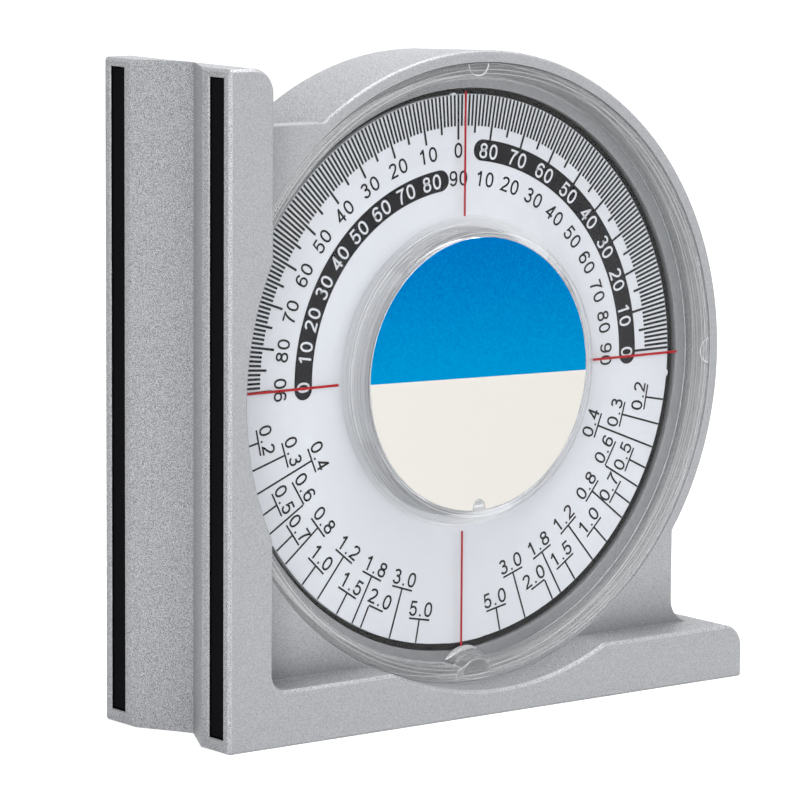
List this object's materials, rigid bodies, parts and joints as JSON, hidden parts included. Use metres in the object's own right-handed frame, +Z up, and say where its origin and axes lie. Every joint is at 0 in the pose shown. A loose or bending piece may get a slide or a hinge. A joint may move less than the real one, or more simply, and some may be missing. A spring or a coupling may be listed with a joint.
{
  "type": "inclinometer",
  "caption": "Magnetic slope finder: L-shaped cast frame with vee-grooved magnet rails and a drum in which a weighted dial hangs level behind a clear lens.",
  "frame": {"origin": "middle of the footprint at the underside of the base bar", "axes": "+Z up along the upright bar, +X along the base bar away from the upright, the dial faces -Y"},
  "size_m": [0.105, 0.0336, 0.1055],
  "materials": {
    "cast_alloy": "tumbled satin silver casting",
    "magnet": "matt black sintered strip",
    "keeper_steel": "plain cold-rolled strip",
    "clear_plastic": "clear moulded window",
    "seal": "thin pale sealing ring",
    "label": "two-tone sticker, blue over cream",
    "bearing_brass": "turned bush",
    "jewel": "polished synthetic ruby",
    "dial": "white dial with printed scales",
    "hub_brass": "turned, staked at the front",
    "washer_steel": "pressed washer",
    "axle_steel": "ground pin",
    "weight_steel": "stamped plate, zinc plated"
  },
  "bodies": {
    "housing": {"body_casting": "cast_alloy", "magnet_front": "magnet", "magnet_rear": "magnet", "keeper_front": "keeper_steel", "keeper_rear": "keeper_steel", "lens": "clear_plastic", "lens_gasket": "seal", "centre_label": "label", "front_bearing": "bearing_brass", "front_jewel": "jewel", "rear_bearing": "bearing_brass", "rear_jewel": "jewel"},
    "dial_assembly": {"dial_plate": "dial", "dial_hub": "hub_brass", "hub_washer": "washer_steel", "pivot_axle": "axle_steel", "axle_collar": "hub_brass", "counterweight": "weight_steel", "stud_washer_left": "washer_steel", "stud_washer_right": "washer_steel"}
  },
  "joints": [
    {"name": "dial_swing", "type": "hinge", "parent": "housing", "child": "dial_assembly", "pos_m": [0.001, 0, 0.054], "axis": [0, 1, 0], "continuous": true}
  ]
}
